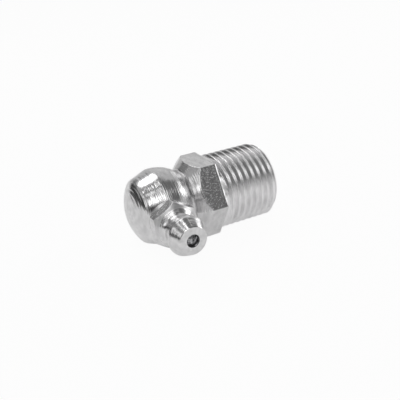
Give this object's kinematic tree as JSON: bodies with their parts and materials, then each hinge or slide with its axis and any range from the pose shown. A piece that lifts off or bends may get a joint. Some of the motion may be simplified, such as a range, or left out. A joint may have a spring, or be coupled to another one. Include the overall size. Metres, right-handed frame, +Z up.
{
  "type": "grease nipple",
  "caption": "Ninety-degree grease nipple with a pipe-threaded shank, spanner hexagon, domed elbow and a coupler head with a spring-loaded check ball.",
  "frame": {"origin": "centre of the hexagon's rear face, where the threaded shank starts", "axes": "+X along the thread axis away from the hexagon, -Y along the coupler head, +Z up with the nipple lying on its side"},
  "size_m": [0.0258, 0.022, 0.0132],
  "materials": {
    "body_steel": "turned, bright zinc plated",
    "head_steel": "turned, bright zinc plated",
    "ball_steel": "polished",
    "spring_steel": "drawn wire"
  },
  "bodies": {
    "nipple": {"body": "body_steel", "nipple_head": "head_steel", "spring": "spring_steel"},
    "ball": {"check_ball": "ball_steel"}
  },
  "joints": [
    {"name": "ball_slide", "type": "slide", "parent": "nipple", "child": "ball", "axis": [0, 1, 0], "range_m": [0, 0.001], "stiffness_N_per_m": 3480, "deforming": ["spring"]}
  ]
}
